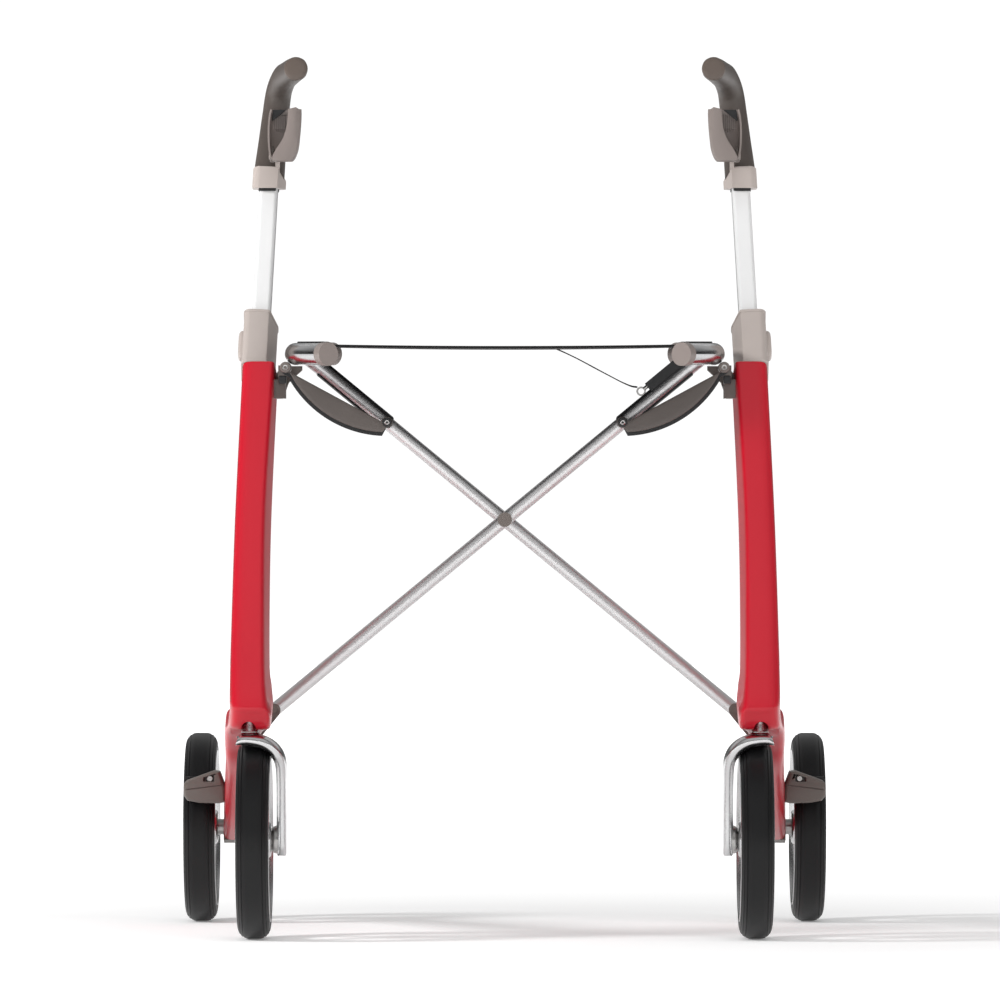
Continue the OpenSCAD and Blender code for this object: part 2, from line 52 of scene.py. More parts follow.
# Focal length, and how far the horizon lies below the picture's middle, both in picture widths
FOCAL, HORIZON_DROP = 7.808, 0.093
camera = bpy.data.objects.new("camera", bpy.data.cameras.new("camera"))
bpy.context.scene.collection.objects.link(camera)
camera.location = CAMERA_AT
camera.data.sensor_width = SENSOR_MM
camera.data.lens = SENSOR_MM * FOCAL
camera.rotation_euler = (math.pi / 2 + math.atan(HORIZON_DROP / FOCAL), 0, 0)
camera.data.clip_end = 100
bpy.context.scene.camera = camera

# ---------- mesh helpers, all in millimetres of the row frame ----------


def curve_point(p0, p1, p2, p3, t):
    """Point a share t of the way from p1 to p2 on a Catmull-Rom curve."""
    return [0.5 * (2 * b + (c - a) * t + (2 * a - 5 * b + 4 * c - d) * t * t
                   + (3 * b - a - 3 * c + d) * t ** 3)
            for a, b, c, d in zip(p0, p1, p2, p3)]


def smooth(stations, steps):
    """Catmull-Rom curve through rows of numbers."""
    last = len(stations) - 1
    rows = []
    for i in range(last):
        four = (stations[max(i - 1, 0)], stations[i], stations[i + 1], stations[min(i + 2, last)])
        rows += [curve_point(*four, k / steps) for k in range(steps)]
    return rows + [list(stations[-1])]


def angles(count):
    """Equal angles round a full turn."""
    return [2 * math.pi * k / count for k in range(count)]


def soft_power(v, e):
    """Power that keeps the sign. Below 1 it turns a circle's sine and cosine into a rounded square."""
    return math.copysign(abs(v) ** e, v)


def flip(points, side):
    """Points made for the right side (+X), put on the given side."""
    return [(side * x, y, z) for x, y, z in points]


def flip_rings(rings, side):
    """The same for a list of rings."""
    return [flip(ring, side) for ring in rings]


def new_piece(name, verts, faces, material, body, smooth_angle=35):
    """A mesh from points in millimetres, riding on a body."""
    mesh = bpy.data.meshes.new(name)
    mesh.from_pydata([Vector(v) * MM for v in verts], [], faces)
    bm = bmesh.new()
    bm.from_mesh(mesh)
    bmesh.ops.remove_doubles(bm, verts=bm.verts, dist=1e-6)
    bmesh.ops.recalc_face_normals(bm, faces=bm.faces)
    bm.to_mesh(mesh)
    bm.free()
    mesh.shade_smooth()
    mesh.set_sharp_from_angle(angle=math.radians(smooth_angle))
    obj = bpy.data.objects.new(name, mesh)
    bpy.context.scene.collection.objects.link(obj)
    mesh.materials.append(material)
    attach(obj, body)
    return obj


def ring_faces(count, rings, closed=False):
    """Faces between rings of count points each. Closed joins the last ring to the first."""
    faces = [(i * count + k, i * count + (k + 1) % count, ((i + 1) % rings) * count + (k + 1) % count,
              ((i + 1) % rings) * count + k)
             for i in range(rings if closed else rings - 1) for k in range(count)]
    if not closed:
        faces.append(tuple(range(count))[::-1])
        faces.append(tuple((rings - 1) * count + k for k in range(count)))
    return faces


def loft(name, rings, material, body, closed=False, smooth_angle=35):
    """Piece with a skin over rings, with flat ends unless it is closed."""
    verts = [p for ring in rings for p in ring]
    faces = ring_faces(len(rings[0]), len(rings), closed)
    return new_piece(name, verts, faces, material, body, smooth_angle)


def bevel(obj, width, segments=3, angle=40):
    """Rounds the edges sharper than angle. Width is in millimetres."""
    m = obj.modifiers.new("edges", "BEVEL")
    m.width = width * MM
    m.segments = segments
    m.limit_method = "ANGLE"
    m.angle_limit = math.radians(angle)
    m.harden_normals = True
    return obj


def boolean(obj, cutter, operation="DIFFERENCE"):
    """Cuts obj with cutter, bakes the result into obj's mesh and removes the cutter."""
    m = obj.modifiers.new("cut", "BOOLEAN")
    m.object, m.operation, m.solver = cutter, operation, "EXACT"
    depsgraph = bpy.context.evaluated_depsgraph_get()
    mesh = bpy.data.meshes.new_from_object(obj.evaluated_get(depsgraph))
    obj.modifiers.clear()
    obj.data = mesh
    mesh.shade_smooth()
    mesh.set_sharp_from_angle(angle=math.radians(35))
    bpy.data.objects.remove(cutter)
    return obj


def ring_cutter(rings):
    """Solid over rings for boolean(), which removes it."""
    verts = [p for ring in rings for p in ring]
    faces = ring_faces(len(rings[0]), len(rings))
    mesh = bpy.data.meshes.new("cutter")
    mesh.from_pydata([Vector(v) * MM for v in verts], [], faces)
    bm = bmesh.new()
    bm.from_mesh(mesh)
    bmesh.ops.recalc_face_normals(bm, faces=bm.faces)
    bm.to_mesh(mesh)
    bm.free()
    obj = bpy.data.objects.new("cutter", mesh)
    bpy.context.scene.collection.objects.link(obj)
    return obj


def rod(axis, r, a, b, u, v, count=32, r2=None):
    """Rings of a cylinder along X, Y or Z from a to b, about the point (u, v)."""
    out = []
    for at, rr in ((a, r), (b, r if r2 is None else r2)):
        ring = []
        for q in angles(count):
            p, s = u + rr * math.cos(q), v + rr * math.sin(q)
            ring.append({"X": (at, p, s), "Y": (p, at, s), "Z": (p, s, at)}[axis])
        out.append(ring)
    return out


def prism(outline, axis, a, b):
    """Rings of an outline pushed along X (outline is Y, Z) or Y (outline is X, Z) from a to b."""
    return [[(at, p, q) if axis == "X" else (p, at, q) for p, q in outline] for at in (a, b)]


def lathe(name, profile, centre, material, body, count=128):
    """Turns a closed profile of (radius, X offset) about an axle along X."""
    cx, cy, cz = centre
    rings = []
    for q in angles(count):
        rings.append([(cx + x, cy + r * math.cos(q), cz + r * math.sin(q)) for r, x in profile])
    return loft(name, rings, material, body, closed=True, smooth_angle=40)


def path_rings(rows, count, power):
    """Rings square to a path of X, Y, Z, half width, half height, with one axis kept level."""
    rings = []
    for i, row in enumerate(rows):
        a, b = rows[max(i - 1, 0)], rows[min(i + 1, len(rows) - 1)]
        t = Vector((b[0] - a[0], b[1] - a[1], b[2] - a[2])).normalized()
        up = Vector((0, t.y, t.z)).cross(Vector((1, 0, 0))).normalized()
        rings.append([tuple(Vector(row[:3]) + Vector((1, 0, 0)) * row[3] * soft_power(math.cos(q), power)
                            + up * row[4] * soft_power(math.sin(q), power))
                      for q in angles(count)])
    return rings


# Foot of the right post's axis, and how many degrees it leans back and inboard
POST_FOOT, LEAN, POST_IN = Vector((256.9, -88, 582)), 26, 2.4
POST_FRAME = (Matrix.Translation(POST_FOOT) @ Matrix.Rotation(math.radians(-POST_IN), 4, "Y")
              @ Matrix.Rotation(math.radians(-LEAN), 4, "X"))


def on_post(points):
    """Points of the post's own frame, where Z runs up its axis."""
    return [tuple(POST_FRAME @ Vector(p)) for p in points]


# ---------- materials ----------


def surface(name, color, rough, metal=0.0, coat=0.0, coat_rough=0.05, sheen=0.0, spec=0.5,
            mottle=(60, 0.08), grain=(900, 0.05), stretch=(1, 1, 1), edge_highlight=0.0):
    """Principled surface with uneven colour, uneven roughness, a fine grain in relief, and when asked a
    painted highlight that makes convex edges paler.
    """
    mat = bpy.data.materials.new(name)
    mat.use_nodes = True
    nodes, links = mat.node_tree.nodes, mat.node_tree.links
    bsdf = nodes["Principled BSDF"]
    bsdf.inputs["Metallic"].default_value = metal
    bsdf.inputs["Coat Weight"].default_value = coat
    bsdf.inputs["Coat Roughness"].default_value = coat_rough
    bsdf.inputs["Sheen Weight"].default_value = sheen
    bsdf.inputs["Specular IOR Level"].default_value = spec
    coord = nodes.new("ShaderNodeTexCoord")
    scaled = nodes.new("ShaderNodeMapping")
    scaled.inputs["Scale"].default_value = stretch
    links.new(coord.outputs["Object"], scaled.inputs["Vector"])
    broad = nodes.new("ShaderNodeTexNoise")
    broad.inputs["Scale"].default_value = mottle[0]
    broad.inputs["Detail"].default_value = 4
    links.new(scaled.outputs["Vector"], broad.inputs["Vector"])
    tone = nodes.new("ShaderNodeMix")
    tone.data_type = "RGBA"
    tone.inputs["A"].default_value = (*[c * (1 - mottle[1]) for c in color], 1)
    tone.inputs["B"].default_value = (*[min(1, c * (1 + mottle[1])) for c in color], 1)
    links.new(broad.outputs["Fac"], tone.inputs["Factor"])
    out = tone.outputs["Result"]
    if edge_highlight:
        # Convex edges, where pointiness is over a half, get a painted highlight that makes them paler
        geo = nodes.new("ShaderNodeNewGeometry")
        edge = nodes.new("ShaderNodeMapRange")
        edge.inputs["From Min"].default_value = 0.52
        edge.inputs["From Max"].default_value = 0.62
        edge.inputs["To Max"].default_value = edge_highlight
        links.new(geo.outputs["Pointiness"], edge.inputs["Value"])
        highlit_edge = nodes.new("ShaderNodeMix")
        highlit_edge.data_type = "RGBA"
        highlit_edge.inputs["B"].default_value = (*[min(1, c * 1.6 + 0.02) for c in color], 1)
        links.new(edge.outputs["Result"], highlit_edge.inputs["Factor"])
        links.new(out, highlit_edge.inputs["A"])
        out = highlit_edge.outputs["Result"]
    links.new(out, bsdf.inputs["Base Color"])
    ramp = nodes.new("ShaderNodeMapRange")
    ramp.inputs["To Min"].default_value = max(0.02, rough - 0.05)
    ramp.inputs["To Max"].default_value = rough + 0.05
    links.new(broad.outputs["Fac"], ramp.inputs["Value"])
    links.new(ramp.outputs["Result"], bsdf.inputs["Roughness"])
    fine = nodes.new("ShaderNodeTexNoise")
    fine.inputs["Scale"].default_value = grain[0]
    fine.inputs["Detail"].default_value = 2
    links.new(scaled.outputs["Vector"], fine.inputs["Vector"])
    bump = nodes.new("ShaderNodeBump")
    bump.inputs["Strength"].default_value = grain[1]
    bump.inputs["Distance"].default_value = 0.0005
    links.new(fine.outputs["Fac"], bump.inputs["Height"])
    links.new(bump.outputs["Normal"], bsdf.inputs["Normal"])
    return mat


def woven(name, color, threads, depth, sheen=0.3):
    """Plain weave from two crossed waves, in colour and in relief."""
    mat = surface(name, color, 0.75, sheen=sheen, spec=0.25, mottle=(25, 0.2), grain=(2500, 0.2))
    nodes, links = mat.node_tree.nodes, mat.node_tree.links
    bsdf = nodes["Principled BSDF"]
    coord = nodes.new("ShaderNodeTexCoord")
    waves = []
    for direction in ("X", "Y"):
        wave = nodes.new("ShaderNodeTexWave")
        wave.bands_direction = direction
        wave.inputs["Scale"].default_value = threads
        wave.inputs["Distortion"].default_value = 0.4
        wave.inputs["Detail Scale"].default_value = 40
        links.new(coord.outputs["Object"], wave.inputs["Vector"])
        waves.append(wave)
    both = nodes.new("ShaderNodeMath")
    both.operation = "MULTIPLY"
    for wave, socket in zip(waves, both.inputs):
        links.new(wave.outputs["Fac"], socket)
    tone = nodes.new("ShaderNodeMix")
    tone.data_type = "RGBA"
    tone.inputs["A"].default_value = (*[c * 0.45 for c in color], 1)
    tone.inputs["B"].default_value = (*[c * 1.5 for c in color], 1)
    links.new(both.outputs["Value"], tone.inputs["Factor"])
    links.new(tone.outputs["Result"], bsdf.inputs["Base Color"])
    bump = nodes["Bump"]
    bump.inputs["Strength"].default_value = depth
    links.new(both.outputs["Value"], bump.inputs["Height"])
    return mat


RED = surface("red_lacquer", (0.47, 0.006, 0.019), 0.36, spec=0.3, coat=0.26, coat_rough=0.06,
              mottle=(9, 0.05), grain=(260, 0.012))
# The taupe plastics and the link plate carry a painted highlight on their convex edges
TAUPE = surface("taupe_plastic", (0.40, 0.35, 0.325), 0.46, mottle=(40, 0.05), grain=(2600, 0.08), edge_highlight=0.2)
TAUPE_MID = surface("taupe_mid", (0.20, 0.168, 0.155), 0.44, mottle=(40, 0.06), grain=(2600, 0.08), edge_highlight=0.2)
TAUPE_DARK = surface("taupe_dark", (0.115, 0.096, 0.086), 0.40,
                     mottle=(30, 0.08), grain=(2600, 0.08), edge_highlight=0.2)
GRIP = surface("grip_rubber", (0.068, 0.055, 0.048), 0.52, mottle=(50, 0.07), grain=(3200, 0.18))
PLATE = surface("link_plate", (0.088, 0.073, 0.066), 0.42, mottle=(22, 0.12), grain=(2600, 0.08), edge_highlight=0.2)
GRIP_END = surface("grip_end", (0.092, 0.070, 0.058), 0.50, mottle=(50, 0.05), grain=(3200, 0.12))
POST = surface("post_paint", (0.70, 0.70, 0.70), 0.30, coat=0.4, mottle=(30, 0.02), grain=(1500, 0.02))
SATIN = surface("satin_aluminium", (0.66, 0.66, 0.665), 0.25, metal=1.0,
                mottle=(50, 0.04), grain=(1800, 0.05))
POLISHED = surface("polished_aluminium", (0.74, 0.735, 0.74), 0.46, metal=1.0,
                   mottle=(30, 0.04), grain=(900, 0.03))
RAIL = surface("rail_aluminium", (0.46, 0.46, 0.465), 0.2, metal=1.0, mottle=(50, 0.06), grain=(1500, 0.04))
STEEL = surface("steel", (0.52, 0.51, 0.50), 0.28, metal=1.0, mottle=(80, 0.08), grain=(1500, 0.06))
TYRE = surface("tyre_rubber", (0.0055, 0.0055, 0.006), 0.44, spec=0.32,
               mottle=(35, 0.25), grain=(1400, 0.12))
BLACK = surface("black_plastic", (0.012, 0.012, 0.013), 0.45, mottle=(40, 0.15), grain=(2200, 0.10))
FABRIC = woven("seat_weave", (0.009, 0.009, 0.010), 260, 0.8, sheen=0.05)
HEM = woven("hem_tape", (0.008, 0.008, 0.009), 420, 0.6, sheen=0.05)
CORD = woven("braid", (0.016, 0.016, 0.018), 700, 0.8)

# Material and edge radius in millimetres of each CAD node, by its name without the side
CARRIED = {
    "collar": (TAUPE, 0.9), "height_button": (TAUPE, 1.6), "seat_bracket": (TAUPE_DARK, 0.6),
    "hinge_bracket": (TAUPE_DARK, 0.8), "frame_hardware": (STEEL, 0.4),
    "brake_housing": (TAUPE_DARK, 1.5), "brake_shoe": (BLACK, 0.6), "leg_end": (TAUPE_DARK, 1.0),
    "handle_post": (POST, 0), "grip_band": (TAUPE, 0.8), "grip": (GRIP, 0),
    "brake_lever": (TAUPE_DARK, 0.8), "caster_fork": (SATIN, 2.0), "caster_stem": (STEEL, 0.4),
    "front_axle": (STEEL, 0.4), "front_tyre": (TYRE, 0), "front_rim": (SATIN, 0.6),
    "front_bearings": (STEEL, 0), "rear_tyre": (TYRE, 0), "rear_rim": (SATIN, 0.6),
    "rear_bearings": (STEEL, 0), "link_core": (BLACK, 0.5), "link_cover": (PLATE, 0.8),
    "seat_rail": (RAIL, 0), "rail_caps": (TAUPE_MID, 0.8), "side_frame": (RED, 0),
    "cross_bar_a": (POLISHED, 0.3), "cross_bar_b": (POLISHED, 0.3), "centre_pivot": (TAUPE_DARK, 0.6),
    "seat_fabric": (FABRIC, 0), "latch_housing": (BLACK, 0.6), "latch_plunger": (STEEL, 0),
    "release_cord": (CORD, 0),
}
for node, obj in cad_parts.items():
    key = node.rsplit("_", 1)[0] if node.endswith(("_left", "_right")) else node
    material, edge = CARRIED[key]
    obj.data.materials.clear()
    obj.data.materials.append(material)
    obj.data.shade_smooth()
    obj.data.set_sharp_from_angle(angle=math.radians(32))
    if edge:
        bevel(obj, edge)

# ---------- release cord ----------

# Points of the cord's route, the same as in the CAD source
CORD_ROUTE = [
    [52, -150, 606.9], [62, -146, 602.6], [74, -142, 597], [86, -138, 590.8], [98, -133, 584.5],
    [110, -129, 578.3], [120, -126, 573.2], [127.5, -123.2, 569.9], [132.2, -121, 568.3],
    [136.8, -119, 567.7]]
CORD_D = 2.0


def release_cord():
    """Cord from under the seat to the latch's ring."""
    rows = smooth(CORD_ROUTE, 6)
    rings = path_rings([[*row, CORD_D / 2, CORD_D / 2] for row in rows], count=12, power=1)
    obj = loft("release_cord_braid", rings, CORD, "seat")
    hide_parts("release_cord")


# ---------- side frames ----------

# Outer edge Y and Z, inner edge Y and Z, middle X, width, share of the half width that the facet takes
FRAME_STATIONS = [
    [-113, 594.5, -62.5, 569.7, 254.5, 37, 0.17],
    [-188, 443, -136, 417, 259, 38, 0.36],
    [-250, 314, -196, 286, 260, 40.5, 0.32],
    [-282, 248, -178, 262, 259.5, 43, 0.24],
    [-281, 229, -168, 252, 259.5, 43, 0.02],
    [-268, 215.5, -158, 245, 260.5, 44, 0],
    [-235, 214.5, -146, 239, 263, 42, 0],
    [-195, 208, -132, 235, 269, 38, 0],
    [-160, 193, -112, 230, 272, 35, 0],
    [-122, 173, -82, 222, 274, 32, 0],
    [0, 139, 10, 194, 279, 30, 0],
    [120, 107, 128, 156, 285, 29, 0],
    [200, 88, 207, 130, 289, 28, 0]]
FRAME_POINTS = 96
STEM_X, STEM_Y, HEAD_Z = 260, -255, 214.5


def frame_ring(s):
    """Section of the frame at one station: a rounded box with a tighter, faceted front inboard corner."""
    ring = []
    for a in angles(FRAME_POINTS):
        power = 0.22 if math.cos(a) > 0 and math.sin(a) > 0 else 0.42
        u, v = soft_power(math.cos(a), power), soft_power(math.sin(a), power)
        cut = 1 - s[6] * (u + 1) / 2 if v > 0 else 1
        ring.append((s[4] - v * cut * s[5] / 2, (s[0] + s[2]) / 2 + u * (s[0] - s[2]) / 2,
                     (s[1] + s[3]) / 2 + u * (s[1] - s[3]) / 2))
    return ring


def frame_shell(name, side):
    """Lacquered skin of the side frame, with the stem's bore and the notch in front of it."""
    rings = flip_rings([frame_ring(s) for s in smooth(FRAME_STATIONS, 8)], side)
    shell = loft(f"frame_shell_{name}", rings, RED, f"{name}_frame", smooth_angle=50)
    stem_bore = rod("Z", 14, 180, 229, STEM_X, STEM_Y, 48, r2=11.5)
    front_notch = rod("Y", 7.5, -300, STEM_Y, STEM_X + 1, HEAD_Z + 1, 48)
    for cut in (stem_bore, front_notch):
        boolean(shell, ring_cutter(flip_rings(cut, side)))
    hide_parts(f"side_frame_{name}")


# ---------- collars, bands and posts ----------


def faceted(w, d, r, facet, grow=0.0, arcs=8):
    """Closed outline, its corners round and the inboard front one cut back. Front is -Y, outboard +X."""
    w, d = w + 2 * grow, d + 2 * grow

    def corner(cx, cy, start):
        turn = [math.radians(start + 90 * k / arcs) for k in range(arcs + 1)]
        return [(cx + r * math.cos(q), cy + r * math.sin(q)) for q in turn]

    out = corner(w / 2 - r, d / 2 - r, 0) + corner(-w / 2 + r, d / 2 - r, 90)
    soft = 2.5
    a, b = Vector((-w / 2, d * 0.2)), Vector((facet - w / 2, -d / 2))
    before, after = Vector((0, 1)), Vector((1, 0))
    along = (b - a).normalized()
    out += [tuple(a + before * soft), tuple(a + (before + along) * soft * 0.25), tuple(a + along * soft)]
    out += [tuple(b - along * soft), tuple(b + (after - along) * soft * 0.25), tuple(b + after * soft)]
    return out + corner(w / 2 - r, -d / 2 + r, 270)


def collar(name, side):
    """Moulded sleeve about the post, with a fine raised lip at each end and a mouth for the post."""
    w, d, facet, z0, z1, lip = 36, 52, 8.5, 0.3, 63.6, 0.7
    steps = [(z0, -1.6), (z0 + 0.5, -0.5), (z0 + 1.4, 0), (z0 + 3.2, 0), (z0 + 3.7, -lip), (z0 + 6, -lip),
             (z1 - 6, -lip), (z1 - 3.7, -lip), (z1 - 3.2, 0), (z1 - 1.4, 0), (z1 - 0.5, -0.5), (z1, -1.6)]
    rings = [[(x, y, z) for x, y in faceted(w, d, 7, facet, grow)] for z, grow in steps]
    mouth = [(x * 0.55, y * 0.64) for x, y in faceted(w, d, 7, facet, -1.6)]
    rings += [[(x, y, z) for x, y in mouth] for z in (z1, z1 - 6)]
    rings = flip_rings([on_post(ring) for ring in rings], side)
    obj = loft(f"collar_sleeve_{name}", rings, TAUPE, f"{name}_frame", smooth_angle=30)
    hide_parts(f"collar_{name}")


def button_bulge(name, side):
    """Push button that swells from the outboard side of the collar."""
    rings = []
    for x, grow in ((14.5, 0), (19.2, 0.0), (20.8, -1.0), (21.9, -3.2), (22.3, -6.0)):
        wide, high = 10 + grow * 0.45, 16 + grow
        ring = [(x, wide * soft_power(math.cos(q), 0.6), 32 + high * soft_power(math.sin(q), 0.7))
                for q in angles(40)]
        rings.append(flip(on_post(ring), side))
    obj = loft(f"button_{name}", rings, TAUPE, f"{name}_button")
    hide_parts(f"height_button_{name}")


def gasket(name, side):
    """Thin black seal, level under the band, that wipes the post."""
    x, y, _ = on_post([(0, 0, 218.8)])[0]
    rings = []
    for height, grow in ((776.9, -0.8), (777.3, 0), (779.8, 0), (780.2, -0.3)):
        rings.append(flip([(x + u * (21 + 2 * grow) / 23, y + v * (37 + 2 * grow) / 34, height)
                           for u, v in faceted(23, 34, 5, 3)], side))
    loft(f"gasket_{name}", rings, BLACK, f"{name}_handle")


# ---------- grips and levers ----------

# Middle of the grip, then its half width and half height, from the band to the rear end
GRIP_STATIONS = [
    [248.6, 12.6, 791.5, 16.2, 18.5],
    [247.8, 18, 803, 16, 18],
    [245.6, 32, 830, 14.8, 16],
    [242.5, 42, 860, 14.2, 15],
    [239, 38, 884, 13.8, 15],
    [233, 16, 897, 13, 14],
    [227, -14, 900, 12.5, 13],
    [221.5, -50, 901, 12.2, 12.5],
    [218, -76, 901, 12, 12],
    [217.4, -80, 901, 9, 9]]
GRIP_POINTS = 48


def grip(name, side):
    """Rubber grip that bends forward, with a paler rounded end."""
    rows = smooth(GRIP_STATIONS[:-1], 8)
    rings = flip_rings(path_rings(rows, GRIP_POINTS, 0.85), side)
    obj = loft(f"grip_skin_{name}", rings, GRIP, f"{name}_handle")
    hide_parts(f"grip_{name}")
    x, y, z = GRIP_STATIONS[-2][:3]
    ends = []
    for dy, r in ((0.5, 12.3), (-1.6, 12.4), (-3.6, 11.7), (-4.6, 10.2), (-4.9, 8.0), (-5.0, 4.0)):
        ends.append([(x + r * math.cos(q), y + dy, z + r * math.sin(q)) for q in angles(GRIP_POINTS)])
    loft(f"grip_end_{name}", flip_rings(ends, side), GRIP_END, f"{name}_handle")


# Height fraction, outboard edge X, inboard edge X, front rim X, back depth, Z
SCOOP = [
    [0.00, 240, 222.5, 239.5, -46, 806],
    [0.06, 244.3, 219.5, 243.0, -44, 809.5],
    [0.22, 246.3, 216.6, 239.0, -42, 818],
    [0.40, 247.0, 215.2, 232.0, -41, 829],
    [0.62, 247.0, 214.0, 228.0, -41, 842],
    [0.82, 246.0, 213.5, 226.8, -42, 853],
    [1.00, 244.4, 213.6, 226.3, -43.5, 860]]
SCOOP_FRONT = -62
# Y and Z
LEVER_PIVOT = (-11, 814)


def scoop_row(s):
    """Open section of the paddle, from the outboard edge round the back and along the front to its rim."""
    rise, out_x, in_x, rim_x, back, z = s
    mid, half = (out_x + in_x) / 2, (out_x - in_x) / 2
    depth = back - SCOOP_FRONT
    row = []
    for k in range(17):
        q = math.pi * k / 16
        row.append((mid + half * soft_power(math.cos(q), 0.8),
                    SCOOP_FRONT + 6 + (depth - 6) * soft_power(math.sin(q), 0.75), z))
    row += [(in_x + 0.3, SCOOP_FRONT + 3, z), (in_x + 2.2, SCOOP_FRONT + 0.6, z)]
    for k in range(1, 6):
        p = k / 5
        row.append((in_x + 3 + (rim_x - in_x - 3) * p, SCOOP_FRONT - 0.8 * math.sin(math.pi * p),
                    z + 2.5 * (1 - p) * rise))
    return row


def lever(name, side):
    """Finger lever: a thin scooped paddle with ribs inside, on an arm from its pivot."""
    body = f"{name}_lever"
    rows = [scoop_row(s) for s in smooth(SCOOP, 6)]
    count = len(rows[0])
    verts = [p for row in rows for p in flip(row, side)]
    faces = [(i * count + k, i * count + k + 1, (i + 1) * count + k + 1, (i + 1) * count + k)
             for i in range(len(rows) - 1) for k in range(count - 1)]
    obj = new_piece(f"lever_{name}", verts, faces, TAUPE_MID, body)
    wall = obj.modifiers.new("wall", "SOLIDIFY")
    wall.thickness = 2.0 * MM
    wall.offset = 0
    bevel(obj, 0.5, 2, 50)
    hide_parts(f"brake_lever_{name}")
    for x in range(228, 243, 2):
        rib = prism([(-42, 836), (-42, 856), (-45.6, 854), (-45.2, 840)], "X", x, x + 0.8)
        loft(f"lever_rib_{name}_{x}", flip_rings(rib, side), TAUPE_MID, body)
    # A black patch, painted shade, stands for the shaded opening at the paddle's top
    shade_patch = prism([(243.4, 860), (228.5, 860), (243.4, 848)], "Y", -50, -46.5)
    bevel(loft(f"lever_shade_patch_{name}", flip_rings(shade_patch, side), BLACK, body), 0.5, 2)
    eye_y, eye_z = LEVER_PIVOT
    eye = [math.radians(-70 + 150 * k / 12) for k in range(13)]
    outline = [(eye_y + 6.5 * math.cos(q), eye_z + 6.5 * math.sin(q)) for q in eye]
    outline += [(-26, 820), (-40, 823), (-47, 822), (-49, 818), (-47, 809), (-40, 806), (-26, 806)]
    arm = flip_rings(prism(outline, "X", 241.7, 246.3), side)
    bevel(loft(f"lever_arm_{name}", arm, TAUPE_DARK, body), 1.2)


# ---------- casters ----------

# Middle X and Z, tangent angle in degrees, thickness, front Y, back Y
FORK_STATIONS = [
    [273.4, 202.2, 196, 7.5, -275, -236],
    [268, 204.4, 186, 11, -277, -233],
    [258, 204.2, 178, 13, -277.5, -230],
    [247, 201.8, 200, 14, -276, -226],
    [238, 196.4, 221, 14, -273, -221],
    [231.8, 188.4, 243, 13.2, -268, -214],
    [228.8, 177, 264, 11.8, -258, -206],
    [228.5, 160, 270, 10.8, -247, -203],
    [228.5, 135, 270, 10.8, -239.5, -202],
    [228.5, 110, 270, 10.8, -237, -203],
    [228.5, 95, 270, 10.6, -235, -205],
    [228.5, 87, 270, 10.0, -229, -211],
    [228.5, 84.8, 270, 8.0, -224, -216]]


FORK_POINTS = 40
WHEEL_R = 101.5
# X and Y of the right wheels' middles
WHEEL_AT = {"front": (256.5, -220), "rear": (327, 220)}


def fork(name, side):
    """One-armed cast fork, with the neck round its stem and the boss round its axle."""
    body = f"{name}_caster"
    across = Vector((0, 1, 0))
    rings = []
    for x, z, angle, thick, front, back in smooth(FORK_STATIONS, 6):
        middle = Vector((x, (front + back) / 2, z))
        outward = math.radians(angle + 90)
        normal = Vector((math.cos(outward), 0, math.sin(outward)))
        rings.append([tuple(middle + across * (back - front) / 2 * soft_power(math.cos(q), 0.6)
                            + normal * thick / 2 * soft_power(math.sin(q), 0.7))
                      for q in angles(FORK_POINTS)])
    obj = loft(f"fork_{name}", flip_rings(rings, side), SATIN, body)
    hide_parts(f"caster_fork_{name}")
    neck = [rod("Z", r, z, z, STEM_X, STEM_Y, FORK_POINTS)[0] for z, r in
            ((206, 13.5), (208, 13.3), (209.6, 11.5), (211.5, 9.2), (214, 8.2), (222, 8.0))]
    loft(f"fork_neck_{name}", flip_rings(neck, side), SATIN, body)
    boss = [rod("X", r, x, x, WHEEL_AT["front"][1], WHEEL_R, FORK_POINTS)[0] for x, r in
            ((232, 14.4), (235.6, 14.4), (236.4, 13.6), (238.6, 11.4), (238.9, 6))]
    loft(f"fork_boss_{name}", flip_rings(boss, side), STEEL, body)


# ---------- wheels ----------

TYRE_HALF, RIM_R, SHOULDER = 16.8, 80.0, 12


def tyre_profile():
    """Closed section of the tyre as (radius, offset): round shoulders with three fine grooves on each."""
    crown = TYRE_HALF - SHOULDER
    half = [(WHEEL_R, crown * k / 3) for k in range(0, 4)]
    for k in range(1, 25):
        q = math.radians(90 - 90 * k / 24)
        r, x = WHEEL_R - SHOULDER + SHOULDER * math.sin(q), crown + SHOULDER * math.cos(q)
        dip = 0.75 if k in (8, 13, 18) else 0
        half.append((r - dip * math.sin(q), x - dip * math.cos(q)))
    half += [(88.4, TYRE_HALF), (88.0, TYRE_HALF - 0.8), (87.2, TYRE_HALF - 0.8), (86.8, TYRE_HALF),
             (83.2, TYRE_HALF - 0.3), (RIM_R + 1, TYRE_HALF - 1.6), (RIM_R, TYRE_HALF - 3.5)]
    mirrored = [(r, -x) for r, x in half[::-1] if x > 0]
    return half + mirrored


def both_halves(half):
    """Closed profile of (radius, offset) from the half at positive offsets."""
    return half + [(r, -x) for r, x in half[::-1]]


RIM_PROFILE = both_halves([(69.5, 9), (71, 12), (78, 13.5), (81.5, 16.4), (83.4, 17.2), (84.2, 16.6),
                           (83.4, 15.4), (80.5, 14.6), (80.0, 12)])
HUB_PROFILE = both_halves([(11.1, 17), (13, 17.6), (16.5, 17.2), (18.2, 15.6), (19.2, 10), (19.6, 6)])
SPOKES = 5
# Distance from the axle, half width and half thickness of a spoke
SPOKE_STATIONS = [[16, 13, 7.0], [26, 9.5, 6.0], [44, 7.6, 5.2], [60, 8.6, 5.6], [72, 13, 7.0]]


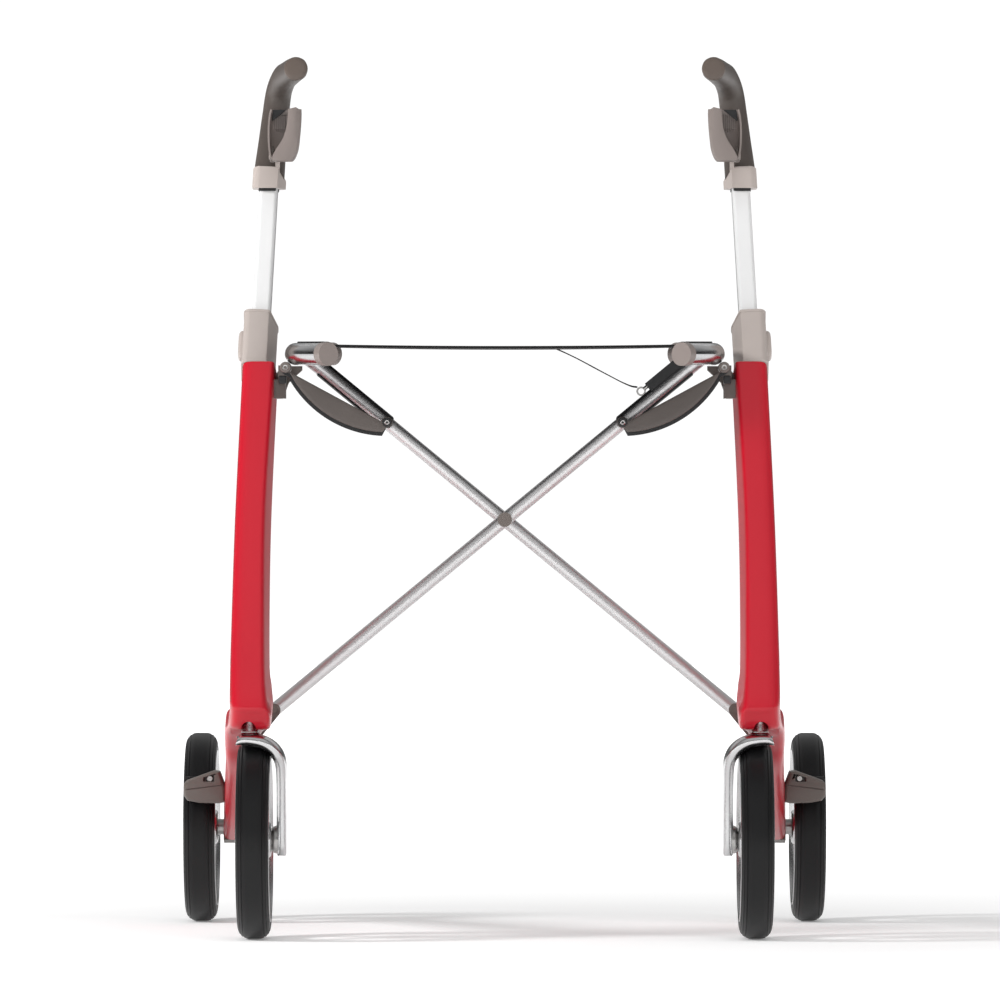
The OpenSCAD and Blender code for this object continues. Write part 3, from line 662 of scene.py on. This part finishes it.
def wheel(name, end, side):
    """Tyre, rim, hub and spokes of one wheel."""
    x, y = WHEEL_AT[end]
    body, centre = f"{name}_{end}_wheel", (side * x, y, WHEEL_R)
    tyre = lathe(f"{end}_tyre_skin_{name}", tyre_profile(), centre, TYRE, body)
    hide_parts(f"{end}_tyre_{name}")
    rim = lathe(f"{end}_rim_ring_{name}", RIM_PROFILE, centre, SATIN, body)
    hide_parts(f"{end}_rim_{name}")
    lathe(f"{end}_hub_{name}", HUB_PROFILE, centre, SATIN, body, 64)
    for k in range(SPOKES):
        turn = Matrix.Rotation(2 * math.pi * k / SPOKES, 4, "X")
        rings = []
        for r, wide, thick in smooth(SPOKE_STATIONS, 5):
            section = [Vector((thick * soft_power(math.cos(q), 0.55),
                               wide * soft_power(math.sin(q), 0.75), r)) for q in angles(24)]
            rings.append([tuple(Vector(centre) + turn @ v) for v in section])
        loft(f"{end}_spoke_{name}_{k}", rings, SATIN, body)


# ---------- brakes and small parts ----------

# X and Z
BRAKE_OUTLINE = [(296.5, 131.5), (296.5, 147), (303, 164.5), (309, 165.4), (338, 155), (341.4, 151.5),
                 (342, 146), (341.6, 138.5), (337.4, 133), (325, 130.6), (304, 130.1)]


def brake_housing(name, side):
    """Moulded wedge ahead of the rear wheel, its face crowned, with a deep slot for the adjuster."""
    middle = Vector((320, 147))
    rings = []
    for y, keep in ((84.2, 0.80), (84.6, 0.88), (86.2, 0.955), (89, 0.99), (93, 1), (110, 1), (111.6, 0.96)):
        rings.append(flip([(middle.x + (x - middle.x) * keep, y, middle.y + (z - middle.y) * keep)
                           for x, z in BRAKE_OUTLINE], side))
    shell = loft(f"brake_shell_{name}", rings, TAUPE_DARK, f"{name}_frame", smooth_angle=28)
    slot = prism([(309, 153.5), (309, 161.3), (320.5, 157.8), (320.5, 153.5)], "Y", 80, 92)
    groove = prism([(298, 149.4), (298, 150.4), (341, 145.2), (341, 144.2)], "Y", 80, 85.3)
    for cut in (slot, groove):
        boolean(shell, ring_cutter(flip_rings(cut, side)))
    bevel(shell, 0.6, 2)
    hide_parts(f"brake_housing_{name}")
    screw = flip_rings(rod("Y", 3.0, 87, 91, 313.6, 156.6, 24), side)
    bevel(loft(f"brake_screw_{name}", screw, STEEL, f"{name}_frame"), 0.4, 2)


def disc_stack(name, steps, x, z, side, material, body, slot):
    """Round part along Y from rows of (Y, radius)."""
    rings = [flip(rod("Y", r, y, y, x, z)[0], side) for y, r in steps]
    return loft(name, rings, material, body)


# The link runs down from its upper pivot at an angle. Its lower edge is an arc about BOW_AT.
LINK_AT, LINK_LEN, LINK_ANGLE, LINK_FRONT = Vector((227.2, 0, 587.7)), 119.6, math.radians(28.4), -138
LINK_EYE, BOW_R, BOW_AT = 5.8, 112.2, Vector((70.7, 89.3))


def pivots(name, side):
    """Bolts and washers of the link's two pivots, and the bumper under the seat bracket."""
    end_x, _, end_z = link_point(LINK_LEN, 0, 0)
    upper, lower = (LINK_AT.x, LINK_AT.z, side), (end_x, end_z, side)
    washer = [(-139.6, 3), (-139.8, 4.9), (-139.0, 5.4), (-137.6, 5.4)]
    bolt = [(-141.0, 1.2), (-142.2, 1.4), (-142.3, 2.4), (-141.6, 3.2), (-139.4, 3.4)]
    end_ring = [(-140.4, 2.4), (-140.6, 4.2), (-140.0, 4.9), (-137.6, 5.0)]
    end_bolt = [(-140.9, 0.9), (-142.0, 1.1), (-142.2, 1.9), (-141.6, 2.7), (-140.2, 2.9)]
    disc_stack(f"link_washer_{name}", washer, *upper, TAUPE_MID, f"{name}_frame", "taupe")
    disc_stack(f"link_bolt_{name}", bolt, *upper, STEEL, f"{name}_frame", "steel")
    disc_stack(f"link_end_ring_{name}", end_ring, *lower, BLACK, f"{name}_link", "dark")
    disc_stack(f"link_end_bolt_{name}", end_bolt, *lower, STEEL, f"{name}_link", "steel")
    bumper = prism([(226.6, 571), (234.6, 571), (234.6, 579.5), (226.6, 579.5)], "Y", -127, -115)
    bevel(loft(f"bumper_{name}", flip_rings(bumper, side), BLACK, f"{name}_frame"), 1.2)


def link_edges(x, grow):
    """Lower and upper edge of the sickle at a distance from its upper pivot."""
    low, high = 0.0, 0.0
    for eye in (0, LINK_LEN):
        reach = LINK_EYE ** 2 - (x - eye) ** 2
        if reach > 0:
            low, high = min(low, -math.sqrt(reach)), max(high, math.sqrt(reach))
    below = BOW_AT.y - math.sqrt((BOW_R + grow) ** 2 - (x - BOW_AT.x) ** 2)
    if below < -2 and x < LINK_LEN + 2:
        low = min(low, below)
        high = high if high > 0 else -2
    return low, high


def sickle(name, side, y0, y1, grow, crown, start, end, material, slot, soft):
    """One plate of the folding link, with a slightly crowned face."""
    rings, steps = [], 56
    for i in range(steps + 1):
        x = start + (end - start) * (1 - math.cos(math.pi * i / steps)) / 2
        low, high = link_edges(x, grow)
        bulge = crown * (1 - (2 * x / LINK_LEN - 1) ** 2)
        mid, half = (low + high) / 2, max(0.3, (high - low) / 2)
        ring = []
        for q in angles(36):
            v = mid + half * soft_power(math.sin(q), soft)
            y = (y0 + y1) / 2 + (y1 - y0) / 2 * soft_power(math.cos(q), 0.3)
            ring.append(link_point(x, y - (bulge if math.cos(q) < 0 else 0), v))
        rings.append(flip(ring, side))
    return loft(f"{slot}_sickle_{name}", rings, material, f"{name}_link", smooth_angle=50)


def link_point(x, y, v):
    """Point of the link's own frame: x along it from the upper pivot, v square to it and upwards."""
    c, s = math.cos(LINK_ANGLE), math.sin(LINK_ANGLE)
    return (LINK_AT.x - x * c - v * s, y, LINK_AT.z - x * s + v * c)


def folding_link(name, side):
    """Taupe cover plate in front of a black plate that shows as an edge along the bow."""
    cover = sickle(name, side, LINK_FRONT, LINK_FRONT + 5, grow=0, crown=1.4, start=-LINK_EYE + 0.05,
                   end=LINK_LEN + LINK_EYE - 0.05, material=PLATE, slot="taupe", soft=0.55)
    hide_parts(f"link_cover_{name}")
    sickle(name, side, LINK_FRONT + 5.2, LINK_FRONT + 10, grow=3.8, crown=0, start=12, end=LINK_LEN + 1.9,
           material=BLACK, slot="dark", soft=0.4)


# ---------- channels on the cross bars ----------

HINGE, CROSS_Z, BAR_R = Vector((239.4, 232.5)), 430, 7
# Where the channel starts and ends round the bar, in degrees from the back over the top
CHANNEL = (-122, 138)
# The bar whose upper end is on each side, and its Y
BARS = {1: ("bar_a", -118), -1: ("bar_b", -102)}


def bar_channel(name, side):
    """Black channel that wraps a bar from its upper end down to the link, open at the front."""
    body, y = BARS[side]
    start = Vector((-HINGE.x, y, HINGE.y))
    along = Vector((HINGE.x, 0, CROSS_Z - HINGE.y)).normalized()
    over = Vector((-along.z, 0, along.x))
    rings, steps = [], 28
    for at, grow in ((466, 0.6), (468, 1.7), (556, 1.7), (558, 0.6)):
        ring = []
        for radius, sweep in ((BAR_R + grow, range(steps + 1)), (BAR_R - 0.6, range(steps, -1, -1))):
            for k in sweep:
                q = math.radians(CHANNEL[0] + (CHANNEL[1] - CHANNEL[0]) * k / steps)
                ring.append(tuple(start + along * at + Vector((0, 1, 0)) * radius * math.cos(q)
                                  + over * radius * math.sin(q)))
        rings.append(flip(ring, side))
    loft(f"bar_channel_{name}", rings, BLACK, body, smooth_angle=50)


# ---------- seat ----------

RAIL_X, RAIL_Z, RAIL_R, RAIL_TUBE, SEAT_Y = 217, 602.3, 180, 11.5, -110
SEAT_TILT = math.tan(math.radians(1.8))
# Half depth, height and dip of the cloth, and how far inside the rail's middle line it ends
SEAT_HALF, SEAT_TOP, SEAT_SAG, WRAP = 98, 610.6, 3.2, 1.5


def rail_line(y, inset):
    """X of a line that follows the right rail, a given distance inside its middle."""
    r = RAIL_R - inset
    return RAIL_X - RAIL_R + math.sqrt(max(0, r * r - (y - SEAT_Y) ** 2))


def seat_height(x, y, edge, t):
    """Height of the cloth: a shallow dip between the rails and a wrap over their tubes."""
    inset = abs(edge) - abs(x) + WRAP
    over = 0
    if inset < RAIL_TUBE:
        over = RAIL_Z + math.sqrt(max(0, (RAIL_TUBE + 0.9) ** 2 - min(inset, RAIL_TUBE) ** 2))
    sag = SEAT_SAG * (1 - t * t) * (1 - 0.5 * ((y - SEAT_Y) / SEAT_HALF) ** 2)
    return max(SEAT_TOP - sag, over) + (y - SEAT_Y) * SEAT_TILT


def seat_hem(k, y, inward):
    """Folded edge along the front or rear of the cloth."""
    edge, steps = rail_line(y, WRAP), 60
    rings = []
    for i in range(steps + 1):
        t = -1 + 2 * i / steps
        z = SEAT_TOP + 0.2 - SEAT_SAG * (1 - t * t) * 0.5 + (y - SEAT_Y) * SEAT_TILT
        rings.append([(edge * 0.97 * t, y + inward * 6 + 7.5 * soft_power(math.cos(q), 0.4),
                       z + 1.2 * soft_power(math.sin(q), 0.6)) for q in angles(16)])
    return loft(f"seat_hem_{k}", rings, HEM, "seat")


def seat():
    """Textile stretched between the rails, with its two hems."""
    rows, deep, across = [], 40, 48
    for j in range(deep + 1):
        y = SEAT_Y - SEAT_HALF + 2 * SEAT_HALF * j / deep
        edge = rail_line(y, WRAP)
        row = []
        for i in range(across + 1):
            t = -1 + 2 * i / across
            t = math.copysign(1 - (1 - abs(t)) ** 1.25, t)
            row.append((edge * t, y, seat_height(edge * t, y, edge, t)))
        rows.append(row)
    verts = [p for row in rows for p in row]
    n = across + 1
    faces = [(j * n + i, j * n + i + 1, (j + 1) * n + i + 1, (j + 1) * n + i)
             for j in range(deep) for i in range(across)]
    cloth = new_piece("seat_cloth", verts, faces, FABRIC, "seat", smooth_angle=80)
    wall = cloth.modifiers.new("cloth", "SOLIDIFY")
    wall.thickness = 1.5 * MM
    wall.offset = 0
    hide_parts("seat_fabric")
    hems = [seat_hem(0, SEAT_Y - SEAT_HALF, 1), seat_hem(1, SEAT_Y + SEAT_HALF, -1)]
    for piece in (*hems, cloth):
        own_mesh(piece)


# ---------- making ----------

release_cord()
for name, side in SIDES.items():
    frame_shell(name, side)
    collar(name, side)
    button_bulge(name, side)
    gasket(name, side)
    grip(name, side)
    lever(name, side)
    fork(name, side)
    wheel(name, "front", side)
    wheel(name, "rear", side)
    brake_housing(name, side)
    pivots(name, side)
    folding_link(name, side)
    bar_channel(name, side)
seat()

# ---------- floor, lights ----------

# Half width of the floor in metres
REACH = 30
# Glow of the paper near the walker and far from it
FLOOR_GLOW = (0.17, 1.0)
floor_mesh = bpy.data.meshes.new("floor")
floor_corners = [(-REACH, -REACH, 0), (REACH, -REACH, 0), (REACH, REACH, 0), (-REACH, REACH, 0)]
floor_mesh.from_pydata(floor_corners, [], [(0, 1, 2, 3)])
floor = bpy.data.objects.new("floor", floor_mesh)
bpy.context.scene.collection.objects.link(floor)
floor.location.z = -0.0005


def floor_paper():
    """White studio paper that glows more with distance, so that the floor fades into the white backdrop."""
    mat = surface("floor_paper", (0.97, 0.97, 0.97), 0.85, spec=0.1, mottle=(3, 0.005), grain=(500, 0.01))
    nodes, links = mat.node_tree.nodes, mat.node_tree.links
    bsdf = nodes["Principled BSDF"]
    bsdf.inputs["Emission Color"].default_value = (1, 1, 1, 1)
    coord = nodes.new("ShaderNodeTexCoord")
    far = nodes.new("ShaderNodeVectorMath")
    far.operation = "LENGTH"
    links.new(coord.outputs["Object"], far.inputs[0])
    glow = nodes.new("ShaderNodeMapRange")
    glow.inputs["From Min"].default_value = 0.6
    glow.inputs["From Max"].default_value = 3.0
    glow.inputs["To Min"].default_value = FLOOR_GLOW[0]
    glow.inputs["To Max"].default_value = FLOOR_GLOW[1]
    links.new(far.outputs["Value"], glow.inputs["Value"])
    links.new(glow.outputs["Result"], bsdf.inputs["Emission Strength"])
    return mat


floor_mesh.materials.append(floor_paper())

# Strength of the world's light by the height of its direction, and how much of it is left at the sides
WORLD_BANDS = [(-1.0, 0.55), (-0.02, 0.55), (0.03, 0.10), (0.20, 0.12), (0.30, 0.60), (0.80, 0.55),
               (0.97, 0.20)]
SIDE_SHADE = 0.25
# Strength of the white backdrop that the camera sees
BACKDROP = 1.05
world = bpy.data.worlds.new("studio")
bpy.context.scene.world = world
world.use_nodes = True
wn, wl = world.node_tree.nodes, world.node_tree.links
background = wn["Background"]
background.inputs["Color"].default_value = (1, 1, 1, 1)
direction = wn.new("ShaderNodeTexCoord")
split = wn.new("ShaderNodeSeparateXYZ")
wl.new(direction.outputs["Generated"], split.inputs["Vector"])
height = wn.new("ShaderNodeMapRange")
height.inputs["From Min"].default_value = -1
wl.new(split.outputs["Z"], height.inputs["Value"])
bands = wn.new("ShaderNodeValToRGB")
while len(bands.color_ramp.elements) < len(WORLD_BANDS):
    bands.color_ramp.elements.new(0.5)
for element, (z, strength) in zip(bands.color_ramp.elements, WORLD_BANDS):
    element.position = (z + 1) / 2
    element.color = (strength, strength, strength, 1)
wl.new(height.outputs["Result"], bands.inputs["Fac"])
aside = wn.new("ShaderNodeMath")
aside.operation = "ABSOLUTE"
wl.new(split.outputs["X"], aside.inputs[0])
shade = wn.new("ShaderNodeMapRange")
for socket, value in (("From Min", 0.55), ("From Max", 0.9), ("To Min", 1), ("To Max", SIDE_SHADE)):
    shade.inputs[socket].default_value = value
wl.new(aside.outputs["Value"], shade.inputs["Value"])
light = wn.new("ShaderNodeMath")
light.operation = "MULTIPLY"
wl.new(bands.outputs["Color"], light.inputs[0])
wl.new(shade.outputs["Result"], light.inputs[1])
seen = wn.new("ShaderNodeLightPath")
pick = wn.new("ShaderNodeMix")
pick.data_type = "FLOAT"
pick.inputs["B"].default_value = BACKDROP
wl.new(light.outputs["Value"], pick.inputs["A"])
wl.new(seen.outputs["Is Camera Ray"], pick.inputs["Factor"])
wl.new(pick.outputs["Result"], background.inputs["Strength"])


def area_light(name, at, target, size, power):
    """Softbox that lights surfaces but doesn't show in their reflections."""
    data = bpy.data.lights.new(name, "AREA")
    data.shape, data.size, data.size_y, data.energy = "RECTANGLE", size[0], size[1], power
    obj = bpy.data.objects.new(name, data)
    bpy.context.scene.collection.objects.link(obj)
    obj.location = at
    obj.rotation_euler = (Vector(target) - Vector(at)).to_track_quat("-Z", "Y").to_euler()
    obj.visible_glossy = False


area_light("key", (-3.0, -1.2, 1.9), (0, 0, 0.3), (0.7, 0.7), 92)
area_light("front", (0, -3.0, 3.6), (0, 0, 0.5), (2.4, 1.6), 28)
area_light("fill", (0, -5.0, 1.2), (0, 0, 0.5), (3.0, 1.6), 14)
area_light("right", (3.0, -1.6, 1.4), (0, 0, 0.5), (1.6, 1.6), 22)
bpy.context.scene.view_settings.view_transform = "Standard"
